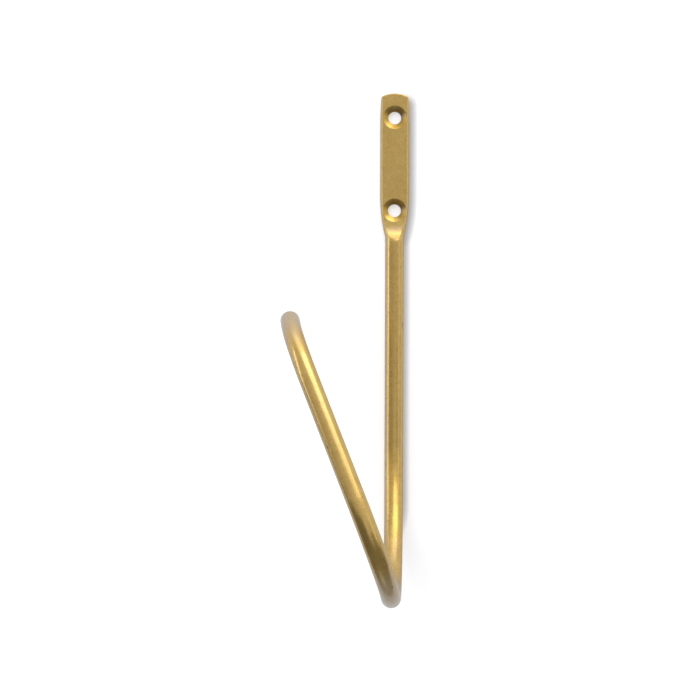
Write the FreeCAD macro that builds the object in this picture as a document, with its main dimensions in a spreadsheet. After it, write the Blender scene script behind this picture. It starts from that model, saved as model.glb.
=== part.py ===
import FreeCAD, Part
import math
import os

import Sketcher

# A curtain holdback made from one length of round bar.
# The upper end is pressed flat into a tongue with two countersunk screw holes.
# The stem runs down the wall, turns forward in a long bend, and sweeps round
# into an open hoop whose rounded free end comes back towards the wall.
# The origin is the middle of the two screw holes, on the wall face of the tongue.
# X is to the right, the wall is the plane y = 0, the front faces -Y, and Z is up.

Vector = FreeCAD.Vector
doc = FreeCAD.newDocument("CurtainHoldback")

# Driving sizes, in millimetres and degrees.
SIZES = {
    # the bar and how far it stands off the wall below the tongue
    "bar_diameter": 8.0,
    "wall_clearance": 0.2,
    # the pressed tongue
    "tongue_thickness": 4.0,
    "tongue_width": 12.5,
    "bulge_width": 1.0,
    "tip_margin": 10.3,
    "narrowing_length": 14.3,
    "narrowing_radius": 200.0,
    "crown_radius": 12.0,
    "tip_corner_radius": 1.2,
    "tip_edge_radius": 0.4,
    # the screw holes
    "hole_spacing": 40.0,
    "hole_diameter": 5.6,
    "countersink_diameter": 10.0,
    "countersink_angle": 90.0,
    # the shoulder between the tongue and the round bar
    "shoulder_margin": 15.4,
    "shoulder_length": 22.4,
    "flare_lead": 3.8,
    "squeeze_lead": 1.4,
    "squeeze_length": 7.0,
    "scoop_lead": 2.45,
    "scoop_angle": 50.0,
    "scoop_radius": 13.0,
    # the stem, then each bend with the straight before it and the turn of its plane
    "bend_radius": 35.0,
    "stem_length": 110.8,
    "stem_twist": 2.8,
    "stem_bend": 106.5,
    "leg_length": 3.6,
    "leg_twist": 21.9,
    "leg_bend": 88.9,
    "front_length": 50.8,
    "front_twist": -5.9,
    "front_bend": 55.5,
    "tail_length": 9.6,
    "end_radius": 2.5,
    # stock left on the blank past every face that is cut
    "trim_allowance": 3.0,
}

sheet = doc.addObject("Spreadsheet::Sheet", "Sizes")
for row, (alias, value) in enumerate(SIZES.items(), start=1):
    cell = "B%d" % row
    sheet.set("A%d" % row, alias)
    sheet.set(cell, str(value))
    sheet.setAlias(cell, alias)
doc.recompute()

# Expressions that several features share.
BAR_RADIUS = "Sizes.bar_diameter / 2"
BAR_AXIS = "(Sizes.wall_clearance + Sizes.bar_diameter / 2)"
BAR_FRONT = "(Sizes.wall_clearance + Sizes.bar_diameter)"
TONGUE_TOP = "(Sizes.hole_spacing / 2 + Sizes.tip_margin)"
SHOULDER_FOOT = "(-Sizes.hole_spacing / 2 - Sizes.shoulder_margin)"
SHOULDER_TOP = "(%s + Sizes.shoulder_length)" % SHOULDER_FOOT
BULGE_SHARE = "(1 - 2 * Sizes.bulge_width / Sizes.tongue_width)"
ABOVE_TIP = "%s + 2 * Sizes.trim_allowance" % TONGUE_TOP

# How a sketch is set off from its own plane: by nothing, or outwards by a length.
IN_PLANE = "placement(vector(0; 0; 0); rotation(vector(0; 0; 1); 0))"
LIFTED = "placement(vector(0; 0; %s); rotation(vector(0; 0; 1); 0))"

body = doc.addObject("PartDesign::Body", "holdback_bar")
body.Label = "holdback_bar"


def origin_plane(role):
    """The body's own origin plane of that role."""
    for feature in body.Origin.OriginFeatures:
        if feature.Role == role:
            return feature
    raise RuntimeError("no plane " + role)


def new_sketch(name, role, offset):
    """A sketch on an origin plane, placed by an expression."""
    sketch = body.newObject("Sketcher::SketchObject", name)
    sketch.AttachmentSupport = (origin_plane(role), "")
    sketch.MapMode = "FlatFace"
    sketch.setExpression("AttachmentOffset", offset)
    return sketch


def bind(sketch, constraint, name, expression):
    """Add a constraint under a name and tie its value to an expression."""
    index = sketch.addConstraint(constraint)
    sketch.renameConstraint(index, name)
    sketch.setExpression("Constraints." + name, expression)


def ellipse_section(name, height, half_width, half_depth, middle):
    """A level ellipse, wide along X, its middle that far in front of the wall."""
    sketch = new_sketch(name, "XY_Plane", LIFTED % height)
    centre = Vector(0, -2, 0)
    sketch.addGeometry(Part.Ellipse(centre + Vector(6, 0, 0), centre + Vector(0, 3, 0), centre), False)
    sketch.exposeInternalGeometry(0)
    sketch.addConstraint(Sketcher.Constraint("Horizontal", 1))
    sketch.addConstraint(Sketcher.Constraint("PointOnObject", 0, 3, -2))
    bind(sketch, Sketcher.Constraint("DistanceY", 0, 3, -1, 1, 2.0), "middle", middle)
    bind(sketch, Sketcher.Constraint("Distance", 1, 12.0), "width", "2 * (%s)" % half_width)
    bind(sketch, Sketcher.Constraint("Distance", 2, 6.0), "depth", "2 * (%s)" % half_depth)
    return sketch


def circle_section(name, role, offset, centre_y, radius):
    """A round section of the bar, its centre on the sketch's own Y axis."""
    sketch = new_sketch(name, role, offset)
    sketch.addGeometry(Part.Circle(Vector(0, -4, 0), Vector(0, 0, 1), 4.0), False)
    sketch.addConstraint(Sketcher.Constraint("PointOnObject", 0, 3, -2))
    if centre_y:
        bind(sketch, Sketcher.Constraint("DistanceY", 0, 3, -1, 1, 4.0), "middle", centre_y)
    else:
        sketch.addConstraint(Sketcher.Constraint("PointOnObject", 0, 3, -1))
    bind(sketch, Sketcher.Constraint("Radius", 0, 4.0), "radius", radius)
    return sketch


# The shoulder: going up from the round bar, the sides flare out to the tongue's width
# while the section is squeezed from a circle to a thin ellipse near the wall.
# The dies' flats are cut afterwards, and what the ellipse leaves beside them is the
# rounded sides.
SHOULDER_SECTIONS = 16
BULGED_HALF_DEPTH = "(Sizes.tongue_thickness / 2 / sqrt(1 - %s ^ 2))" % BULGE_SHARE


def shoulder_section(index):
    """The blank's section at one of the evenly spaced heights of the shoulder."""
    rise = "(Sizes.shoulder_length * %d / %d)" % (index, SHOULDER_SECTIONS)
    height = "%s + %s" % (SHOULDER_FOOT, rise)
    flare = "max(0; %s - Sizes.flare_lead) / (Sizes.shoulder_length - Sizes.flare_lead)" % rise
    flared = "(1 - (1 - %s) ^ 2)" % flare
    squeeze = "(min(1; max(0; (%s - Sizes.squeeze_lead) / Sizes.squeeze_length)))" % rise
    squeezed = "(%s ^ 2 * (3 - 2 * %s))" % (squeeze, squeeze)
    half_width = "%s + (Sizes.tongue_width - Sizes.bar_diameter) / 2 * %s" % (BAR_RADIUS, flared)
    half_depth = "%s + (%s - %s) * %s" % (BAR_RADIUS, BULGED_HALF_DEPTH, BAR_RADIUS, squeezed)
    middle = "%s + (Sizes.tongue_thickness / 2 - %s) * %s" % (BAR_AXIS, BAR_AXIS, squeezed)
    return ellipse_section("Shoulder%02d" % index, height, half_width, half_depth, middle)


foot = circle_section("ShoulderFoot", "XY_Plane", LIFTED % SHOULDER_FOOT, BAR_AXIS, BAR_RADIUS)
stations = [shoulder_section(index) for index in range(1, SHOULDER_SECTIONS + 1)]
tongue_section = ellipse_section(
    "TongueSection", SHOULDER_TOP, "Sizes.tongue_width / 2", BULGED_HALF_DEPTH, "Sizes.tongue_thickness / 2")
doc.recompute()

shoulder = body.newObject("PartDesign::AdditiveLoft", "Shoulder")
shoulder.Profile = foot
shoulder.Sections = stations
shoulder.Ruled = False
doc.recompute()

tongue = body.newObject("PartDesign::Pad", "Tongue")
tongue.Profile = tongue_section
tongue.Type = "Length"
tongue.setExpression("Length", "%s - %s + Sizes.trim_allowance" % (TONGUE_TOP, SHOULDER_TOP))
doc.recompute()


def cut_through(name, sketch):
    """Cut a sketch's area out along both sides of its plane."""
    pocket = body.newObject("PartDesign::Pocket", name)
    pocket.Profile = sketch
    pocket.SideType = "Symmetric"
    pocket.Type = "Length"
    pocket.setExpression("Length", "4 * Sizes.tongue_width")
    doc.recompute()
    return pocket


# The front face as it is pressed: a flat that scoops out to the front of the round bar.
# The sketch stands on the YZ plane, seen from +X, so its x is the object's y.
allowance = sheet.get("trim_allowance")
thickness = sheet.get("tongue_thickness")
tongue_apex = sheet.get("hole_spacing") / 2 + sheet.get("tip_margin")
shoulder_foot = -sheet.get("hole_spacing") / 2 - sheet.get("shoulder_margin")
scoop_radius = sheet.get("scoop_radius")
scoop_angle = math.radians(sheet.get("scoop_angle"))
outside = sheet.get("wall_clearance") + sheet.get("bar_diameter") + allowance
outer_low = Vector(-outside, shoulder_foot + sheet.get("scoop_lead") - allowance / math.tan(scoop_angle), 0)
scoop_depth = thickness + scoop_radius * (1 - math.cos(scoop_angle))
scoop_low = Vector(-scoop_depth, outer_low.y + (outside - scoop_depth) / math.tan(scoop_angle), 0)
scoop_hub = Vector(-thickness - scoop_radius, scoop_low.y + scoop_radius * math.sin(scoop_angle), 0)
flat_low = Vector(-thickness, scoop_hub.y, 0)
flat_top = Vector(-thickness, tongue_apex + 2 * allowance, 0)
outer_top = Vector(-outside, flat_top.y, 0)
front = new_sketch("PressedFront", "YZ_Plane", IN_PLANE)
front.addGeometry([
    Part.LineSegment(flat_top, flat_low),
    Part.ArcOfCircle(Part.Circle(scoop_hub, Vector(0, 0, 1), scoop_radius), -scoop_angle, 0.0),
    Part.LineSegment(outer_low, scoop_low),
    Part.LineSegment(outer_low, outer_top),
    Part.LineSegment(outer_top, flat_top),
], False)
front.addConstraint([
    Sketcher.Constraint("Vertical", 0),
    Sketcher.Constraint("Vertical", 3),
    Sketcher.Constraint("Horizontal", 4),
    Sketcher.Constraint("Tangent", 0, 2, 1, 2),
    Sketcher.Constraint("Tangent", 1, 1, 2, 2),
    Sketcher.Constraint("Coincident", 2, 1, 3, 1),
    Sketcher.Constraint("Coincident", 3, 2, 4, 1),
    Sketcher.Constraint("Coincident", 4, 2, 0, 1),
])
bind(front, Sketcher.Constraint("Radius", 1, scoop_radius), "scoop", "Sizes.scoop_radius")
bind(front, Sketcher.Constraint("DistanceX", 0, 1, -1, 1, thickness), "thickness", "Sizes.tongue_thickness")
bind(front, Sketcher.Constraint("DistanceY", -1, 1, 0, 1, flat_top.y), "above", ABOVE_TIP)
bind(front, Sketcher.Constraint("DistanceX", 3, 1, -1, 1, outside), "outside",
     "%s + Sizes.trim_allowance" % BAR_FRONT)
bind(front, Sketcher.Constraint("Angle", 2, math.pi / 2 - scoop_angle), "slope", "90 - Sizes.scoop_angle")
bind(front, Sketcher.Constraint("DistanceY", 2, 1, -1, 1, -outer_low.y), "scoop_foot",
     "-%s - Sizes.scoop_lead + Sizes.trim_allowance / tan(Sizes.scoop_angle)" % SHOULDER_FOOT)
doc.recompute()
cut_through("PressFront", front)

# The wall face, pressed flat in the same stroke.
back = new_sketch("PressedBack", "YZ_Plane", IN_PLANE)
corners = [
    Vector(0, shoulder_foot, 0),
    Vector(thickness, shoulder_foot, 0),
    Vector(thickness, flat_top.y, 0),
    Vector(0, flat_top.y, 0),
]
for index in range(4):
    back.addGeometry(Part.LineSegment(corners[index], corners[(index + 1) % 4]), False)
for index in range(4):
    back.addConstraint(Sketcher.Constraint("Coincident", index, 2, (index + 1) % 4, 1))
back.addConstraint([
    Sketcher.Constraint("Horizontal", 0),
    Sketcher.Constraint("Vertical", 1),
    Sketcher.Constraint("Horizontal", 2),
    Sketcher.Constraint("Vertical", 3),
    Sketcher.Constraint("PointOnObject", 3, 1, -2),
])
bind(back, Sketcher.Constraint("DistanceX", 0, 1, 0, 2, thickness), "behind", "Sizes.tongue_thickness")
bind(back, Sketcher.Constraint("DistanceY", 0, 1, -1, 1, -shoulder_foot), "below", "-" + SHOULDER_FOOT)
bind(back, Sketcher.Constraint("DistanceY", -1, 1, 2, 1, flat_top.y), "above", ABOVE_TIP)
doc.recompute()
cut_through("PressBack", back)

# The tip. The tongue narrows towards it by two long arcs, and a shallow crown joins
# them over two small corner arcs. What is cut away is the frame around this outline.
half_width = sheet.get("tongue_width") / 2
crown_radius = sheet.get("crown_radius")
side_radius = sheet.get("narrowing_radius")
corner_radius = sheet.get("tip_corner_radius")
crown_hub = Vector(0, tongue_apex - crown_radius, 0)
side_foot = Vector(half_width, tongue_apex - sheet.get("narrowing_length"), 0)
side_hub = side_foot - Vector(side_radius, 0, 0)


def corner_place():
    """The centre of the right corner arc, which touches the crown and the long side arc."""
    across = crown_hub - side_hub
    apart = across.Length
    to_side = side_radius - corner_radius
    to_crown = crown_radius - corner_radius
    along = (apart ** 2 + to_side ** 2 - to_crown ** 2) / (2 * apart)
    up = math.sqrt(to_side ** 2 - along ** 2)
    ahead = across / apart
    return side_hub + ahead * along + Vector(-ahead.y, ahead.x, 0) * up


def bearing(hub, point):
    """The angle at which a point is seen from a hub."""
    return math.atan2(point.y - hub.y, point.x - hub.x)


def arc(hub, radius, start, end):
    """An arc that runs anticlockwise between two angles."""
    return Part.ArcOfCircle(Part.Circle(hub, Vector(0, 0, 1), radius), start, end)


def mirrored_arc(hub, radius, start, end):
    """The same arc on the left of the tongue's middle line."""
    return arc(Vector(-hub.x, hub.y, 0), radius, math.pi - end, math.pi - start)


corner_hub = corner_place()
side_end = bearing(side_hub, corner_hub)
crown_start = bearing(crown_hub, corner_hub)
tip = new_sketch("Crown", "XZ_Plane", IN_PLANE)
tip.addGeometry([
    arc(crown_hub, crown_radius, crown_start, math.pi - crown_start),
    arc(corner_hub, corner_radius, side_end, crown_start),
    mirrored_arc(corner_hub, corner_radius, side_end, crown_start),
    arc(side_hub, side_radius, 0.0, side_end),
    mirrored_arc(side_hub, side_radius, 0.0, side_end),
], False)
frame_points = [
    side_foot,
    side_foot + Vector(allowance, 0, 0),
    Vector(half_width + allowance, flat_top.y, 0),
    Vector(-half_width - allowance, flat_top.y, 0),
    Vector(-half_width - allowance, side_foot.y, 0),
    Vector(-half_width, side_foot.y, 0),
]
for start, end in zip(frame_points, frame_points[1:]):
    tip.addGeometry(Part.LineSegment(start, end), False)
tip.addConstraint([
    Sketcher.Constraint("PointOnObject", 0, 3, -2),
    Sketcher.Constraint("Tangent", 0, 1, 1, 2),
    Sketcher.Constraint("Tangent", 0, 2, 2, 1),
    Sketcher.Constraint("Tangent", 1, 1, 3, 2),
    Sketcher.Constraint("Tangent", 2, 2, 4, 1),
    Sketcher.Constraint("Equal", 1, 2),
    Sketcher.Constraint("Equal", 3, 4),
    Sketcher.Constraint("Horizontal", 3, 3, 3, 1),
    Sketcher.Constraint("Horizontal", 4, 3, 4, 2),
    Sketcher.Constraint("Symmetric", 3, 1, 4, 2, -2),
    Sketcher.Constraint("Coincident", 3, 1, 5, 1),
    Sketcher.Constraint("Coincident", 5, 2, 6, 1),
    Sketcher.Constraint("Coincident", 6, 2, 7, 1),
    Sketcher.Constraint("Coincident", 7, 2, 8, 1),
    Sketcher.Constraint("Coincident", 8, 2, 9, 1),
    Sketcher.Constraint("Coincident", 9, 2, 4, 2),
    Sketcher.Constraint("Horizontal", 5),
    Sketcher.Constraint("Vertical", 6),
    Sketcher.Constraint("Vertical", 8),
    Sketcher.Constraint("Horizontal", 9),
    Sketcher.Constraint("Symmetric", 7, 1, 7, 2, -2),
])
bind(tip, Sketcher.Constraint("Radius", 0, crown_radius), "crown", "Sizes.crown_radius")
bind(tip, Sketcher.Constraint("Radius", 1, corner_radius), "corner", "Sizes.tip_corner_radius")
bind(tip, Sketcher.Constraint("Radius", 3, side_radius), "side", "Sizes.narrowing_radius")
bind(tip, Sketcher.Constraint("DistanceY", -1, 1, 0, 3, crown_hub.y), "centre",
     "%s - Sizes.crown_radius" % TONGUE_TOP)
bind(tip, Sketcher.Constraint("DistanceX", 4, 2, 3, 1, 2 * half_width), "width", "Sizes.tongue_width")
bind(tip, Sketcher.Constraint("DistanceY", -1, 1, 3, 1, side_foot.y), "foot",
     "%s - Sizes.narrowing_length" % TONGUE_TOP)
bind(tip, Sketcher.Constraint("DistanceX", 5, 1, 5, 2, allowance), "beside", "Sizes.trim_allowance")
bind(tip, Sketcher.Constraint("DistanceY", -1, 1, 7, 1, flat_top.y), "above", ABOVE_TIP)
doc.recompute()
crown = cut_through("CutCrown", tip)

# The tip's front edge is eased. It is the edge of the front face that lies on the crown.
tip_edges = []
for index, edge in enumerate(crown.Shape.Edges, start=1):
    middle = edge.valueAt((edge.FirstParameter + edge.LastParameter) / 2)
    on_crown = abs(math.hypot(middle.x, middle.z - crown_hub.y) - crown_radius) < 0.01
    if on_crown and abs(middle.y + thickness) < 0.01:
        tip_edges.append("Edge%d" % index)
easing = body.newObject("PartDesign::Fillet", "TipEdge")
easing.Base = (crown, tip_edges)
easing.setExpression("Radius", "Sizes.tip_edge_radius")
doc.recompute()

# Two screw holes, countersunk from the front.
half_spacing = sheet.get("hole_spacing") / 2
hole_radius = sheet.get("hole_diameter") / 2
screws = new_sketch("ScrewCentres", "XZ_Plane", LIFTED % "Sizes.tongue_thickness")
screws.addGeometry([
    Part.Circle(Vector(0, half_spacing, 0), Vector(0, 0, 1), hole_radius),
    Part.Circle(Vector(0, -half_spacing, 0), Vector(0, 0, 1), hole_radius),
], False)
screws.addConstraint([
    Sketcher.Constraint("PointOnObject", 0, 3, -2),
    Sketcher.Constraint("PointOnObject", 1, 3, -2),
    Sketcher.Constraint("Equal", 0, 1),
])
bind(screws, Sketcher.Constraint("Diameter", 0, 2 * hole_radius), "diameter", "Sizes.hole_diameter")
bind(screws, Sketcher.Constraint("DistanceY", -1, 1, 0, 3, half_spacing), "upper", "Sizes.hole_spacing / 2")
bind(screws, Sketcher.Constraint("DistanceY", 1, 3, -1, 1, half_spacing), "lower", "Sizes.hole_spacing / 2")
doc.recompute()
holes = body.newObject("PartDesign::Hole", "ScrewHoles")
holes.Profile = screws
doc.recompute()
holes.ThreadType = 0
holes.HoleCutType = 2
holes.DepthType = 1
holes.DrillPoint = 0
holes.setExpression("Diameter", "Sizes.hole_diameter")
holes.setExpression("HoleCutDiameter", "Sizes.countersink_diameter")
holes.setExpression("HoleCutCountersinkAngle", "Sizes.countersink_angle")
doc.recompute()

# The bent bar: one pipe for each straight with the bend after it.
# Each stage starts where the one before ended, looking along the bar,
# with the plane of its bend turned about the bar by its twist.
STAGES = (
    ("Stem", "stem_length", "stem_bend", "leg_twist"),
    ("Leg", "leg_length", "leg_bend", "front_twist"),
    ("Front", "front_length", "front_bend", None),
)
down_the_wall = (
    "placement(vector(-%s; %s; 0); "
    "rotation(vector(0; 0; 1); -90) * rotation(vector(1; 0; 0); 180 + Sizes.stem_twist))"
    % (BAR_AXIS, SHOULDER_FOOT))
ACROSS = "placement(vector(0; 0; 0); rotation(vector(0; 1; 0); 90))"


def after_bend(path, length, bend, twist):
    """Where the next stage starts: past a straight, a bend and a turn about the bar."""
    ahead = "Sizes.%s + Sizes.bend_radius * sin(Sizes.%s)" % (length, bend)
    aside = "Sizes.bend_radius * (1 - cos(Sizes.%s))" % bend
    turn = "rotation(vector(0; 0; 1); Sizes.%s)" % bend
    if twist:
        turn += " * rotation(vector(1; 0; 0); Sizes.%s)" % twist
    return "%s.AttachmentOffset * placement(vector(%s; %s; 0); %s)" % (path.Name, ahead, aside, turn)


def sweep(name, path):
    """Carry the round section of the bar along a path."""
    ring = circle_section(
        name + "Section", "YZ_Plane", "%s.AttachmentOffset * %s" % (path.Name, ACROSS), None, BAR_RADIUS)
    doc.recompute()
    pipe = body.newObject("PartDesign::AdditivePipe", name)
    pipe.Profile = ring
    pipe.Spine = path
    doc.recompute()
    return pipe


offset = down_the_wall
for name, length, bend, next_twist in STAGES:
    straight = sheet.get(length)
    turn = math.radians(sheet.get(bend))
    radius = sheet.get("bend_radius")
    path = new_sketch(name + "Path", "YZ_Plane", offset)
    hub = Vector(straight, radius, 0)
    path.addGeometry(Part.LineSegment(Vector(0, 0, 0), Vector(straight, 0, 0)), False)
    path.addGeometry(
        Part.ArcOfCircle(Part.Circle(hub, Vector(0, 0, 1), radius), -math.pi / 2, turn - math.pi / 2), False)
    path.addConstraint([
        Sketcher.Constraint("Coincident", 0, 1, -1, 1),
        Sketcher.Constraint("PointOnObject", 0, 2, -1),
        Sketcher.Constraint("Tangent", 0, 2, 1, 1),
    ])
    bind(path, Sketcher.Constraint("DistanceX", 0, 1, 0, 2, straight), "straight", "Sizes." + length)
    bind(path, Sketcher.Constraint("Radius", 1, radius), "radius", "Sizes.bend_radius")
    bind(path, Sketcher.Constraint("Angle", 1, turn), "turn", "Sizes." + bend)
    doc.recompute()
    sweep(name, path)
    offset = after_bend(path, length, bend, next_twist)

tail_length = sheet.get("tail_length")
tail_path = new_sketch("TailPath", "YZ_Plane", offset)
tail_path.addGeometry(Part.LineSegment(Vector(0, 0, 0), Vector(tail_length, 0, 0)), False)
tail_path.addConstraint(Sketcher.Constraint("Coincident", 0, 1, -1, 1))
tail_path.addConstraint(Sketcher.Constraint("PointOnObject", 0, 2, -1))
bind(tail_path, Sketcher.Constraint("DistanceX", 0, 1, 0, 2, tail_length), "straight", "Sizes.tail_length")
doc.recompute()
tail = sweep("Tail", tail_path)

# The free end, rounded over so that it doesn't catch the cloth.
end_placement = tail_path.Placement
end_point = end_placement.multVec(Vector(tail_length, 0, 0))
end_edges = []
for index, edge in enumerate(tail.Shape.Edges, start=1):
    if edge.BoundBox.Center.distanceToPoint(end_point) < 0.01:
        end_edges.append("Edge%d" % index)
rounding = body.newObject("PartDesign::Fillet", "RoundedEnd")
rounding.Base = (tail, end_edges)
rounding.setExpression("Radius", "Sizes.end_radius")
doc.recompute()

for item in doc.Objects:
    if "Invalid" in item.State or "Error" in item.State:
        raise RuntimeError("%s failed: %s" % (item.Name, item.State))
shape = body.Shape
if shape.isNull() or not shape.isValid() or len(shape.Solids) != 1:
    raise RuntimeError("the bar isn't one valid solid")

os.makedirs("parts", exist_ok=True)
shape.exportStep("parts/%s.step" % body.Label)
box = shape.BoundBox
print("volume %.1f, box %.2f %.2f %.2f to %.2f %.2f %.2f" % (
    shape.Volume, box.XMin, box.YMin, box.ZMin, box.XMax, box.YMax, box.ZMax))
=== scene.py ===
import math

import bpy
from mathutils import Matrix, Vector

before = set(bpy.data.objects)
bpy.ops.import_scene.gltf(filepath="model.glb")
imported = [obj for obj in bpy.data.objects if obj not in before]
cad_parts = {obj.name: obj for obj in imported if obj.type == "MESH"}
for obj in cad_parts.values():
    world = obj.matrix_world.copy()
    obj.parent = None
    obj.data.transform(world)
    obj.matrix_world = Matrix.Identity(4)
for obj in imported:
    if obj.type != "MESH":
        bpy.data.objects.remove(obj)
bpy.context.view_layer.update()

# The camera stands level in front of the holdback, seventy centimetres from the wall.
# It looks straight at the wall and leans by a fifth of a degree, as the photograph does.
camera_lean = -0.0035
lens_data = bpy.data.cameras.new("camera")
lens_data.lens = 83.55
lens_data.sensor_width = 36.0
lens_data.clip_start = 0.01
camera = bpy.data.objects.new("camera", lens_data)
camera.location = (-0.01896, -0.70295, -0.08022)
camera.rotation_euler = (math.pi / 2, camera_lean, 0.0)
bpy.context.scene.collection.objects.link(camera)
bpy.context.scene.camera = camera


# The holdback: one length of 8 mm steel bar, pressed flat at its upper end and bent into
# an open hook. It is plated and aged to antique gold: satin and finely grained, browner in
# the screw sinks, under a thin lacquer. Its colour also carries painted shade under the
# sinks' upper rims and a painted pale reflection over the two outer bends.
class Link:
    """A node's output. Arithmetic on it adds Math nodes."""

    def __init__(self, tree, socket=None):
        self.tree = tree
        self.socket = socket

    def node(self, kind, settings=None, sockets=None, output=0):
        """Add a node: its settings first, then the values or links of its sockets."""
        made = self.tree.nodes.new(kind)
        for name, value in (settings or {}).items():
            if name == "stops":
                ramp = made.color_ramp
                while len(ramp.elements) < len(value):
                    ramp.elements.new(0.5)
                for element, (position, colour) in zip(ramp.elements, value):
                    element.position = position
                    element.color = colour
            else:
                setattr(made, name, value)
        for name, value in (sockets or {}).items():
            if isinstance(value, Link):
                self.tree.links.new(value.socket, made.inputs[name])
            else:
                made.inputs[name].default_value = value
        return Link(self.tree, made.outputs[output] if made.outputs else None)

    def math(self, operation, first, second=0.0):
        return self.node("ShaderNodeMath", {"operation": operation}, {0: first, 1: second})

    def __add__(self, other):
        return self.math("ADD", self, other)

    __radd__ = __add__

    def __sub__(self, other):
        return self.math("SUBTRACT", self, other)

    def __rsub__(self, other):
        return self.math("SUBTRACT", other, self)

    def __mul__(self, other):
        return self.math("MULTIPLY", self, other)

    __rmul__ = __mul__


def part_of(vector, axis):
    """One of the three numbers of a vector."""
    return vector.node("ShaderNodeSeparateXYZ", None, {0: vector}, output=axis)


def distance(place, point):
    """How far a place is from a point, in metres."""
    return place.node(
        "ShaderNodeVectorMath", {"operation": "DISTANCE"}, {0: place, 1: point}, output="Value")


def unit(vector):
    """The same direction, at a length of one."""
    return vector.node("ShaderNodeVectorMath", {"operation": "NORMALIZE"}, {0: vector})


def mix(kind, amount, under, over):
    """Lay one colour or vector over another."""
    first, second, output = {"RGBA": (6, 7, 2), "VECTOR": (4, 5, 1)}[kind]
    return amount.node(
        "ShaderNodeMix", {"data_type": kind}, {0: amount, first: under, second: over}, output)


def fade(value, full, none):
    """One where the value is at full, nothing where it is at none, smooth between."""
    return value.node(
        "ShaderNodeMapRange", {"interpolation_type": "SMOOTHSTEP"},
        {"Value": value, "From Min": none, "From Max": full, "To Min": 0.0, "To Max": 1.0})


def noise(place, scale, roughness):
    """Noise over the part, three layers deep; the scale is in features per metre."""
    return place.node(
        "ShaderNodeTexNoise", None,
        {"Vector": place, "Scale": scale, "Detail": 3.0, "Roughness": roughness})


def spot(place, centre, radius):
    """A soft round mark about a point on the part."""
    return fade(distance(place, centre), radius * 0.4, radius)


hole_height = 0.020  # either screw hole's centre, above or below the middle of the tongue
hole_radius = 0.0028
sink_radius = 0.0051

gold = bpy.data.materials.new("antique_gold")
gold.use_nodes = True
gold.node_tree.nodes.clear()
finish = Link(gold.node_tree)
place = finish.node("ShaderNodeTexCoord", output="Object")
across = part_of(place, "X")
depth = part_of(place, "Y")
height = part_of(place, "Z")

# The plating itself: three tones of gold, scattered by a fine grain and two wider mottles.
gold_tones = [
    (0.34, (0.68, 0.422, 0.070, 1.0)), (0.50, (0.78, 0.502, 0.105, 1.0)),
    (0.66, (0.87, 0.588, 0.148, 1.0))]
grain = noise(place, 1300.0, 0.62)
mottle = noise(place, 330.0, 0.55)
clouds = noise(place, 60.0, 0.5)
plating = finish.node(
    "ShaderNodeValToRGB", {"stops": gold_tones},
    {"Fac": grain * 0.45 + mottle * 0.35 + clouds * 0.20})

# The sinks stay a little browner, because nothing rubs them. Under their upper rims a
# painted shade darkens them further.
sink_brown = (0.34, 0.19, 0.045, 1.0)
rim_painted_shade = (0.22, 0.10, 0.02, 1.0)
flat_place = finish.node(
    "ShaderNodeVectorMath", {"operation": "MULTIPLY"}, {0: place, 1: (1.0, 0.0, 1.0)})
from_upper_hole = distance(flat_place, (0.0, 0.0, hole_height))
from_lower_hole = distance(flat_place, (0.0, 0.0, -hole_height))
nearest = finish.math("MINIMUM", from_upper_hole, from_lower_hole)
sinks = fade(nearest, hole_radius, sink_radius)
plating = mix("RGBA", sinks * 0.20, plating, sink_brown)
above_hole = height - finish.math("SIGN", height) * hole_height
# Painted shade: the upper inside of each sink, under its rim, is laid darker brown.
plating = mix("RGBA", sinks * fade(above_hole, 0.0040, 0.0006) * 0.55, plating, rim_painted_shade)

# A painted reflection: under the hook and over its upper bend the plating is painted a pale
# grey gold, as the pale room mirrored there. Each fade gives the places, in metres, where the
# painted reflection is full and where it ends.
pale_reflection_gold = (0.76, 0.63, 0.43, 1.0)
low_bend = fade(height, -0.174, -0.163) * fade(depth, -0.058, -0.030)
high_bend = fade(height, -0.069, -0.080) * fade(across, -0.034, -0.024)
painted_reflection = finish.math("MAXIMUM", low_bend, high_bend * 0.8)
# Painted reflection: pale grey gold laid over the two outer bends.
plating = mix("RGBA", painted_reflection * 0.60, plating, pale_reflection_gold)

# Two small blemishes: a rust-brown spot on the stem and a dark speck under the hook.
rust_brown = (0.30, 0.11, 0.03, 1.0)
speck_black = (0.05, 0.03, 0.01, 1.0)
rust = spot(place, (0.0038, -0.0050, -0.0695), 0.0026) * fade(mottle, 0.50, 0.38)
speck = spot(place, (-0.0021, -0.0694, -0.1726), 0.00055)
plating = mix("RGBA", rust * 0.55, plating, rust_brown)
plating = mix("RGBA", speck * 0.75, plating, speck_black)

# Its sheen is satin, and duller at the two outer bends, where the pale reflection is painted.
sheen = finish.node(
    "ShaderNodeMapRange", None,
    {"Value": grain * 0.5 + mottle * 0.5, "From Min": 0.3, "From Max": 0.7,
     "To Min": 0.25, "To Max": 0.35})
sheen = sheen + painted_reflection * 0.22

# The stem leans forward a little before its bend proper, and the scoop starts more gently
# than it ends. Both show in the light that runs over them.
stem_lean = 0.46
scoop_lean = 0.20
facing = finish.node("ShaderNodeNewGeometry", output="Normal")
frontward = part_of(facing, "Y")
stem_foot = (
    fade(height, -0.143, -0.119) * fade(height, -0.162, -0.180) * fade(depth, -0.026, -0.036))
scoop_start = fade(height, -0.0280, -0.0238) * fade(height, -0.0288, -0.0328)
lean = finish.node(
    "ShaderNodeCombineXYZ", None,
    {"Z": (scoop_start * scoop_lean - stem_foot * stem_lean) * frontward})
leaning = unit(finish.node("ShaderNodeVectorMath", {"operation": "ADD"}, {0: facing, 1: lean}))

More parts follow.
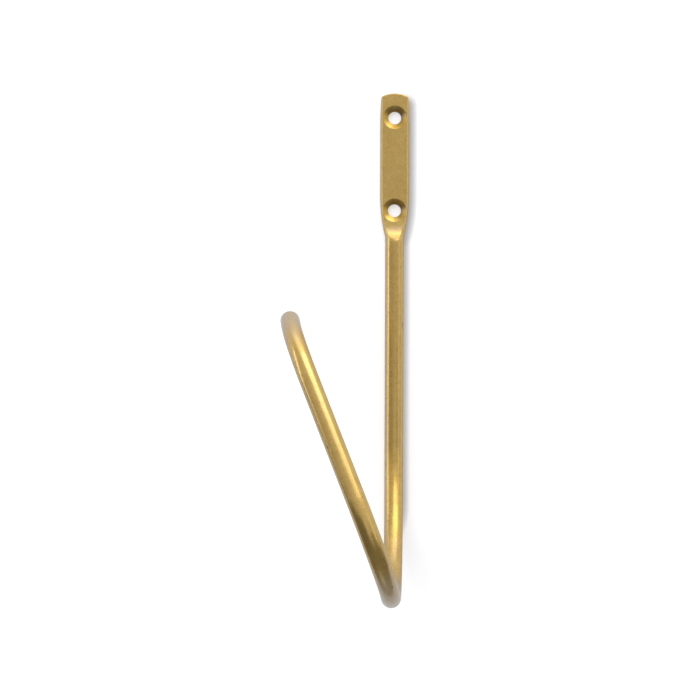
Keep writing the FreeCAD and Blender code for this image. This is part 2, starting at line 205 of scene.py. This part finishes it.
# The sinks are flat cones, turned evenly all the way round.
cone = unit(finish.node(
    "ShaderNodeCombineXYZ", None,
    {"X": across * -1.0, "Y": nearest * -1.5, "Z": above_hole * -1.0}))
turned = (
    fade(nearest, sink_radius - 0.0002, sink_radius)
    * fade(nearest, hole_radius + 0.0001, hole_radius - 0.0001)
    * fade(depth, -0.0019, -0.0015))
leaning = mix("VECTOR", turned, leaning, cone)

# Under the lacquer the grain stands out by about a hundredth of a millimetre.
pores = finish.node(
    "ShaderNodeBump", None,
    {"Strength": 0.19, "Distance": 0.00005, "Height": grain + mottle * 0.6, "Normal": leaning})
metal = finish.node(
    "ShaderNodeBsdfPrincipled", None,
    {"Base Color": plating, "Metallic": 1.0, "Roughness": sheen,
     "Specular Tint": (0.42, 0.50, 0.66, 1.0), "Coat Weight": 1.0, "Coat IOR": 1.75,
     "Coat Roughness": 0.18, "Normal": pores})
finish.node("ShaderNodeOutputMaterial", None, {"Surface": metal})
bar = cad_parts["holdback_bar"]
bar.data.materials.clear()
bar.data.materials.append(gold)

# A white wall stands just behind the tongue and takes the holdback's shadow.
# From behind it is clear, so that the back of the holdback can be looked at.
wall_left, wall_right = -0.30, 0.26
wall_low, wall_high = -0.30, 0.22
wall_face = 0.0004
wall_white = (0.62, 0.62, 0.63)
clean_white = (1.0, 1.0, 1.0, 1.0)
wall_mesh = bpy.data.meshes.new("wall")
wall_mesh.from_pydata(
    [(wall_left, wall_face, wall_low), (wall_right, wall_face, wall_low),
     (wall_right, wall_face, wall_high), (wall_left, wall_face, wall_high)], [], [(0, 1, 2, 3)])
wall = bpy.data.objects.new("wall", wall_mesh)
bpy.context.scene.collection.objects.link(wall)
plaster = bpy.data.materials.new("white_wall")
plaster.use_nodes = True
plaster.node_tree.nodes.clear()
paint = Link(plaster.node_tree)
behind = paint.node("ShaderNodeNewGeometry", output="Backfacing")
direct = paint.node("ShaderNodeLightPath", output="Is Camera Ray")
mirrored = paint.node("ShaderNodeLightPath", output="Is Glossy Ray")
through = paint.node("ShaderNodeLightPath", output="Is Transmission Ray")

# The tongue and the stem shade the wall close to their right side, but not behind the holes.
spread = paint.node("ShaderNodeTexCoord", output="Object")
beside = paint.node("ShaderNodeCombineXYZ", None, {"X": -0.88, "Y": -0.36, "Z": 0.31})
contact = paint.node(
    "ShaderNodeAmbientOcclusion", {"samples": 16},
    {"Color": clean_white, "Distance": 0.0044, "Normal": beside})
behind_upper_hole = distance(spread, (0.0, wall_face, hole_height))
behind_lower_hole = distance(spread, (0.0, wall_face, -hole_height))
open_wall = paint.node(
    "ShaderNodeMapRange", None,
    {"Value": paint.math("MINIMUM", behind_upper_hole, behind_lower_hole),
     "From Min": 0.0036, "From Max": hole_radius})
contact = mix("RGBA", open_wall, contact, clean_white)
shaded = paint.node(
    "ShaderNodeVectorMath", {"operation": "MULTIPLY"}, {0: contact, 1: wall_white})
matt = paint.node("ShaderNodeBsdfDiffuse", None, {"Color": shaded})
lifted = paint.node(
    "ShaderNodeEmission", None,
    {"Color": contact, "Strength": direct * 0.56 + (mirrored + through) * 0.15})
white = paint.node("ShaderNodeAddShader", None, {0: matt, 1: lifted})
clear = paint.node("ShaderNodeBsdfTransparent")
sides = paint.node("ShaderNodeMixShader", None, {0: behind, 1: white, 2: clear})
paint.node("ShaderNodeOutputMaterial", None, {"Surface": sides})
wall_mesh.materials.append(plaster)

# A pale floor lies nearly two metres below the holdback. In the photograph's view it is
# only seen mirrored in the underside of the hook.
floor_side = 0.4
floor_front, floor_back = -0.35, 0.1
floor_height = -1.8
floor_mesh = bpy.data.meshes.new("floor")
floor_mesh.from_pydata(
    [(-floor_side, floor_front, floor_height), (floor_side, floor_front, floor_height),
     (floor_side, floor_back, floor_height), (-floor_side, floor_back, floor_height)], [],
    [(0, 1, 2, 3)])
floor = bpy.data.objects.new("floor", floor_mesh)
bpy.context.scene.collection.objects.link(floor)
boards = bpy.data.materials.new("pale_floor")
boards.use_nodes = True
boards_finish = boards.node_tree.nodes["Principled BSDF"].inputs
boards_finish["Base Color"].default_value = (0.70, 0.70, 0.69, 1.0)
boards_finish["Roughness"].default_value = 0.9
floor_mesh.materials.append(boards)

# The studio: a room whose walls are lighter towards the ceiling and dark near the ground.
# Each pair is a height, from 0 straight down to 1 straight up, and the grey found there.
room_greys = [
    (0.0, 0.21), (0.14, 0.18), (0.41, 0.15), (0.50, 0.48), (0.70, 0.58), (0.94, 0.64),
    (0.99, 1.30)]
room = bpy.data.worlds.new("studio")
bpy.context.scene.world = room
room.use_nodes = True
room.node_tree.nodes.clear()
air = Link(room.node_tree)
direction = air.node("ShaderNodeTexCoord", output="Generated")
upward = part_of(direction, "Z")
rightward = part_of(direction, "X")
walls = air.node(
    "ShaderNodeValToRGB",
    {"stops": [(position, (grey, grey, grey, 1.0)) for position, grey in room_greys]},
    {"Fac": upward * 0.5 + 0.5})
glow = air.node(
    "ShaderNodeBackground", None, {"Color": walls, "Strength": rightward * 0.15 + 1.05})
air.node("ShaderNodeOutputWorld", None, {"Surface": glow})

# Its lights: a large soft one under the ceiling to the right, a narrow upright one at each
# side, all three of them daylight, and a weak panel below the camera.
for name, stands_at, aims_at, width, length, power, colour in (
    ("ceiling_light",
     (0.27, -0.42, 0.56), (-0.02, -0.04, -0.10), 0.70, 0.53, 1.98, (0.96, 0.96, 1.12)),
    ("left_light",
     (-0.80, -0.14, 0.12), (-0.01, -0.02, 0.12), 0.14, 0.64, 0.55, (0.93, 0.99, 1.30)),
    ("right_light",
     (0.70, -0.39, -0.06), (0.0, -0.02, -0.06), 0.06, 0.40, 0.09, (0.96, 0.98, 1.10)),
    ("low_panel",
     (0.10, -0.62, -0.28), (-0.01, -0.02, -0.12), 0.34, 0.26, 0.09, (1.0, 1.0, 1.0)),
):
    lamp_data = bpy.data.lights.new(name, "AREA")
    lamp_data.shape = "RECTANGLE"
    lamp_data.size = width
    lamp_data.size_y = length
    lamp_data.energy = power
    lamp_data.color = colour
    lamp = bpy.data.objects.new(name, lamp_data)
    lamp.location = stands_at
    aim = Vector(aims_at) - Vector(stands_at)
    lamp.rotation_euler = aim.to_track_quat("-Z", "Y").to_euler()
    bpy.context.scene.collection.objects.link(lamp)

# A soft beam from the upper left drops the wall shadow to the right of the bar.
# It doesn't show in the metal.
beam_direction = Vector((0.60, 0.74, -0.30))
beam_data = bpy.data.lights.new("wall_beam", "SUN")
beam_data.energy = 1.4
beam_data.angle = math.radians(60.0)
beam = bpy.data.objects.new("wall_beam", beam_data)
beam.rotation_euler = beam_direction.to_track_quat("-Z", "Y").to_euler()
beam.visible_glossy = False
bpy.context.scene.collection.objects.link(beam)

bpy.context.scene.view_settings.view_transform = "Standard"
